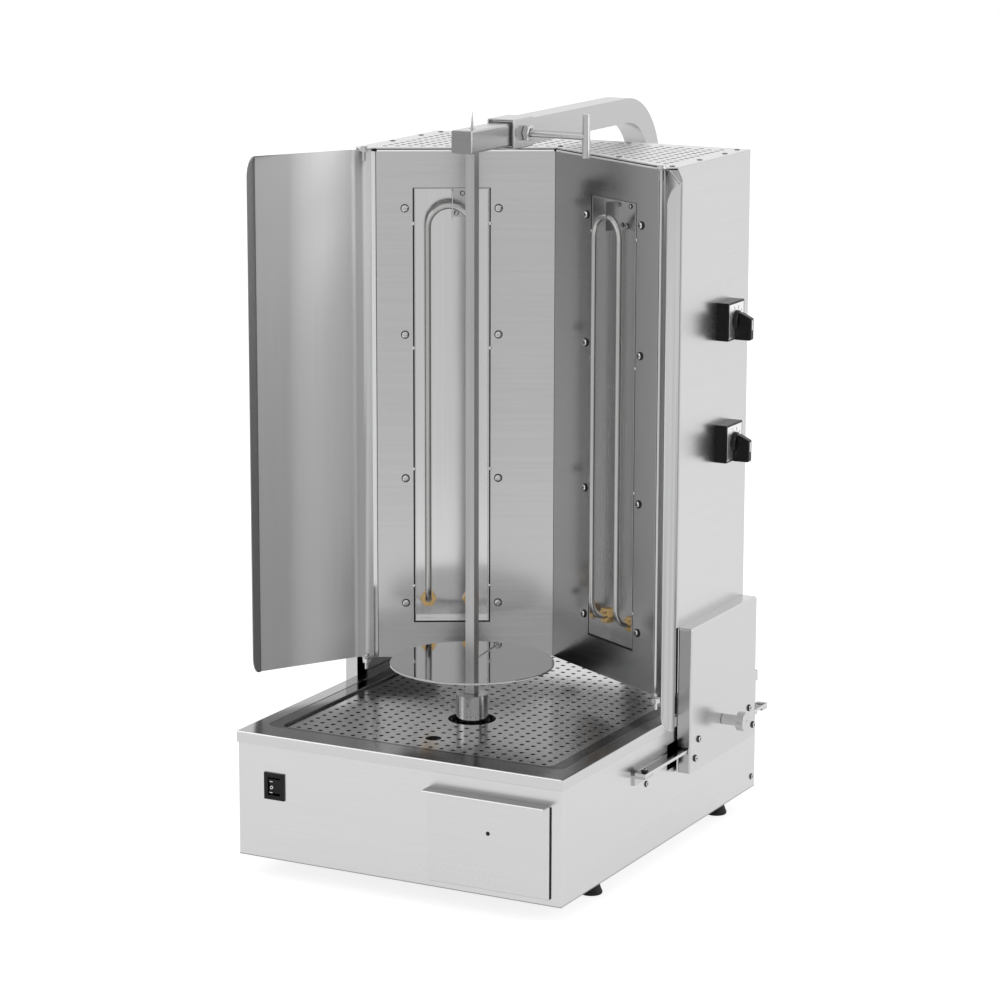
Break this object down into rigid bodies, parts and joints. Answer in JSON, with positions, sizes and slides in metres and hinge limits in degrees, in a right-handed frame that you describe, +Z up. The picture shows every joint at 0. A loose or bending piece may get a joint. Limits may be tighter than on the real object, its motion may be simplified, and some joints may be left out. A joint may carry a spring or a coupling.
{
  "type": "electric skewer grill",
  "caption": "Upright electric grill: a turning skewer and meat disc before slanted burner panels, on a base with drip pan and fat drawer.",
  "frame": {"origin": "on the worktop under the middle of the base rim", "axes": "+Z up, front towards -Y, +X to the viewer's right"},
  "size_m": [0.583, 0.709, 0.938],
  "materials": {
    "brushed_steel": "brushed",
    "bright_steel": "bright rolled sheet",
    "polished_steel": "mirror polish",
    "dark_steel": "mill finish",
    "element_steel": "heat-tinted",
    "brass": "plain",
    "bronze": "plain",
    "black_rubber": "moulded",
    "black_plastic": "semi-gloss",
    "white_plastic": "matt",
    "motor_paint": "satin paint"
  },
  "bodies": {
    "base": {"base_shell": "bright_steel", "base_floor": "dark_steel", "top_rim": "bright_steel", "drip_pan": "polished_steel", "grate": "polished_steel", "rubber_feet": "black_rubber", "foot_bolts": "bright_steel", "rocker_housing": "black_plastic", "gear_motor": "motor_paint", "motor_bracket": "dark_steel", "drawer_runners": "dark_steel", "arm_tube": "brushed_steel", "arm_sleeve": "bright_steel", "arm_flange": "dark_steel", "arm_saddle": "dark_steel", "fixing_bolts": "bright_steel", "slide_rails": "bright_steel", "rail_brackets": "bright_steel", "rail_screws": "bright_steel", "cord_gland": "black_plastic"},
    "drawer": {"drawer_tray": "brushed_steel", "drawer_front": "bright_steel"},
    "rocker": {"rocker_button": "black_plastic"},
    "drive": {"drive_shaft": "dark_steel", "drive_coupling": "brushed_steel"},
    "arm_slider": {"slider_tube": "brushed_steel"},
    "bush": {"top_bush": "bronze"},
    "skewer": {"skewer_bar": "brushed_steel", "meat_disc": "polished_steel"},
    "clamp_foot": {"clamp_pad": "bronze"},
    "clamp_screw": {"clamp_rod": "polished_steel", "t_bar": "polished_steel"},
    "carriage": {"side_panel_right": "brushed_steel", "side_panel_left": "brushed_steel", "housing_back": "brushed_steel", "housing_floor": "brushed_steel", "top_plate": "brushed_steel", "burner_panel_right": "brushed_steel", "burner_panel_left": "brushed_steel", "reflector_right": "bright_steel", "reflector_left": "bright_steel", "element_right": "element_steel", "element_left": "element_steel", "element_glands": "brass", "element_holders": "element_steel", "panel_screws": "bright_steel", "side_cover_right": "bright_steel", "side_cover_left": "bright_steel", "cover_screws": "bright_steel", "carriage_plates": "dark_steel", "slide_blocks": "white_plastic", "rotary_switches": "black_plastic", "terminal_block": "white_plastic", "hinge_pins": "bright_steel"},
    "right_wing": {"wing_right": "brushed_steel"},
    "left_wing": {"wing_left": "brushed_steel"},
    "upper_knob": {"switch_knob_upper": "black_plastic"},
    "lower_knob": {"switch_knob_lower": "black_plastic"},
    "lock_foot": {"lock_pad": "bronze"},
    "lock_screw": {"lock_knob": "bright_steel"}
  },
  "joints": [
    {"name": "drawer_slide", "type": "slide", "parent": "base", "child": "drawer", "axis": [0, -1, 0], "range_m": [0, 0.24]},
    {"name": "rocker_tilt", "type": "hinge", "parent": "base", "child": "rocker", "pos_m": [-0.1712, -0.277, 0.1195], "axis": [1, 0, 0], "range_deg": [-12, 12]},
    {"name": "drive_spin", "type": "hinge", "parent": "base", "child": "drive", "pos_m": [0, -0.09, 0.19], "axis": [0, 0, 1], "continuous": true},
    {"name": "arm_slide", "type": "slide", "parent": "base", "child": "arm_slider", "axis": [0, 1, 0], "range_m": [-0.02, 0.02]},
    {"name": "bush_tilt", "type": "hinge", "parent": "arm_slider", "child": "bush", "pos_m": [0, -0.09, 0.904], "axis": [1, 0, 0], "range_deg": [-1.7, 1.7]},
    {"name": "skewer_spin", "type": "hinge", "parent": "bush", "child": "skewer", "pos_m": [0, -0.09, 0.904], "axis": [0, 0, 1], "continuous": true},
    {"name": "clamp_press", "type": "slide", "parent": "base", "child": "clamp_foot", "axis": [1, 0, 0], "range_m": [0, 0.003]},
    {"name": "clamp_turn", "type": "hinge", "parent": "clamp_foot", "child": "clamp_screw", "pos_m": [0.06, 0.0134, 0.904], "axis": [1, 0, 0], "range_deg": [0, 721]},
    {"name": "housing_slide", "type": "slide", "parent": "base", "child": "carriage", "axis": [0, 1, 0], "range_m": [-0.075, 0.03]},
    {"name": "right_wing_hinge", "type": "hinge", "parent": "carriage", "child": "right_wing", "pos_m": [0.2072, 0.007, 0.54], "axis": [0, 0, 1], "range_deg": [-53, 52]},
    {"name": "left_wing_hinge", "type": "hinge", "parent": "carriage", "child": "left_wing", "pos_m": [-0.2072, 0.007, 0.54], "axis": [0, 0, 1], "range_deg": [-52, 53]},
    {"name": "upper_switch_turn", "type": "hinge", "parent": "carriage", "child": "upper_knob", "pos_m": [0.245, 0.16, 0.667], "axis": [1, 0, 0], "range_deg": [0, 120]},
    {"name": "lower_switch_turn", "type": "hinge", "parent": "carriage", "child": "lower_knob", "pos_m": [0.245, 0.16, 0.512], "axis": [1, 0, 0], "range_deg": [0, 120]},
    {"name": "lock_press", "type": "slide", "parent": "carriage", "child": "lock_foot", "axis": [1, 0, 0], "range_m": [0, 0.003]},
    {"name": "lock_turn", "type": "hinge", "parent": "lock_foot", "child": "lock_screw", "pos_m": [0.25, 0.131, 0.158], "axis": [1, 0, 0], "range_deg": [0, 865]}
  ],
  "couplings": [
    {"joint": "bush_tilt", "follows": "arm_slide", "rad_per_m": -1.4327},
    {"joint": "drive_spin", "follows": "skewer_spin", "ratio": 1},
    {"joint": "clamp_turn", "follows": "clamp_press", "rad_per_m": 4188.8},
    {"joint": "lock_turn", "follows": "lock_press", "rad_per_m": 5026.5}
  ]
}
